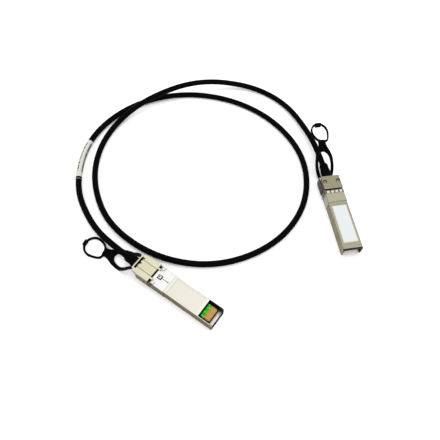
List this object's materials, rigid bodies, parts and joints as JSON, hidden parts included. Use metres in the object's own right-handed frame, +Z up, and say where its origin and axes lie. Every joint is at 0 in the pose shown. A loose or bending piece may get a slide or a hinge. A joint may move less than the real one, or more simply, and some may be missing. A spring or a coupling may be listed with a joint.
{
  "type": "direct attach copper cable",
  "caption": "Short black twin-axial copper cable with a metal pluggable module at each end, each with a sprung release slider and a looped pull tab.",
  "frame": {"origin": "on the surface the cable lies on, under the middle of the box around the two modules", "axes": "+X to the picture's right, +Y away from the camera, +Z up"},
  "size_m": [0.2011, 0.2118, 0.0198],
  "materials": {
    "base_metal": "die-cast zinc alloy, bright nickel plate",
    "cover_metal": "die-cast zinc alloy, warm nickel plate",
    "rivet": "turned steel",
    "spring_sheet": "thin sprung copper alloy, tinned",
    "slider_steel": "stamped stainless sheet",
    "spring_wire": "drawn spring wire",
    "tab_rubber": "black moulded elastomer",
    "card": "green circuit board",
    "gold": "gold plate",
    "chip": "black moulded package",
    "capacitor": "brown ceramic",
    "pair_foil": "foil-wrapped wire pairs",
    "ferrule": "drawn and crimped sleeve",
    "boot_rubber": "black moulded strain relief",
    "jacket": "black extruded jacket, satin",
    "cable_wrap": "white film wrap, satin",
    "wrap_end": "clear film over the dark jacket",
    "top_label": "white polyester label"
  },
  "bodies": {
    "cable_and_plugs": {"base_shell_a": "base_metal", "cover_shell_a": "cover_metal", "cover_rivets_a": "rivet", "emi_gasket_a": "spring_sheet", "return_springs_a": "spring_wire", "paddle_card_a": "card", "contact_pads_a": "gold", "eeprom_chip_a": "chip", "coupling_capacitors_a": "capacitor", "twinax_pairs_a": "pair_foil", "crimp_ferrule_a": "ferrule", "cable_boot_a": "boot_rubber", "base_shell_b": "base_metal", "cover_shell_b": "cover_metal", "cover_rivets_b": "rivet", "emi_gasket_b": "spring_sheet", "return_springs_b": "spring_wire", "paddle_card_b": "card", "contact_pads_b": "gold", "eeprom_chip_b": "chip", "coupling_capacitors_b": "capacitor", "twinax_pairs_b": "pair_foil", "crimp_ferrule_b": "ferrule", "cable_boot_b": "boot_rubber", "top_label_b": "top_label", "cable_jacket": "jacket", "cable_label": "cable_wrap", "cable_label_collar": "wrap_end"},
    "release_a": {"release_slider_a": "slider_steel", "pull_tab_a": "tab_rubber"},
    "release_b": {"release_slider_b": "slider_steel", "pull_tab_b": "tab_rubber"}
  },
  "joints": [
    {"name": "release_a_slide", "type": "slide", "parent": "cable_and_plugs", "child": "release_a", "axis": [-0.8307, 0.5561, 0.0239], "range_m": [0, 0.0025], "stiffness_N_per_m": 300, "springref_m": -0.001, "deforming": ["return_springs_a"]},
    {"name": "release_b_slide", "type": "slide", "parent": "cable_and_plugs", "child": "release_b", "axis": [-0.1788, 0.9837, 0.0209], "range_m": [0, 0.0025], "stiffness_N_per_m": 300, "springref_m": -0.001, "deforming": ["return_springs_b"]}
  ]
}
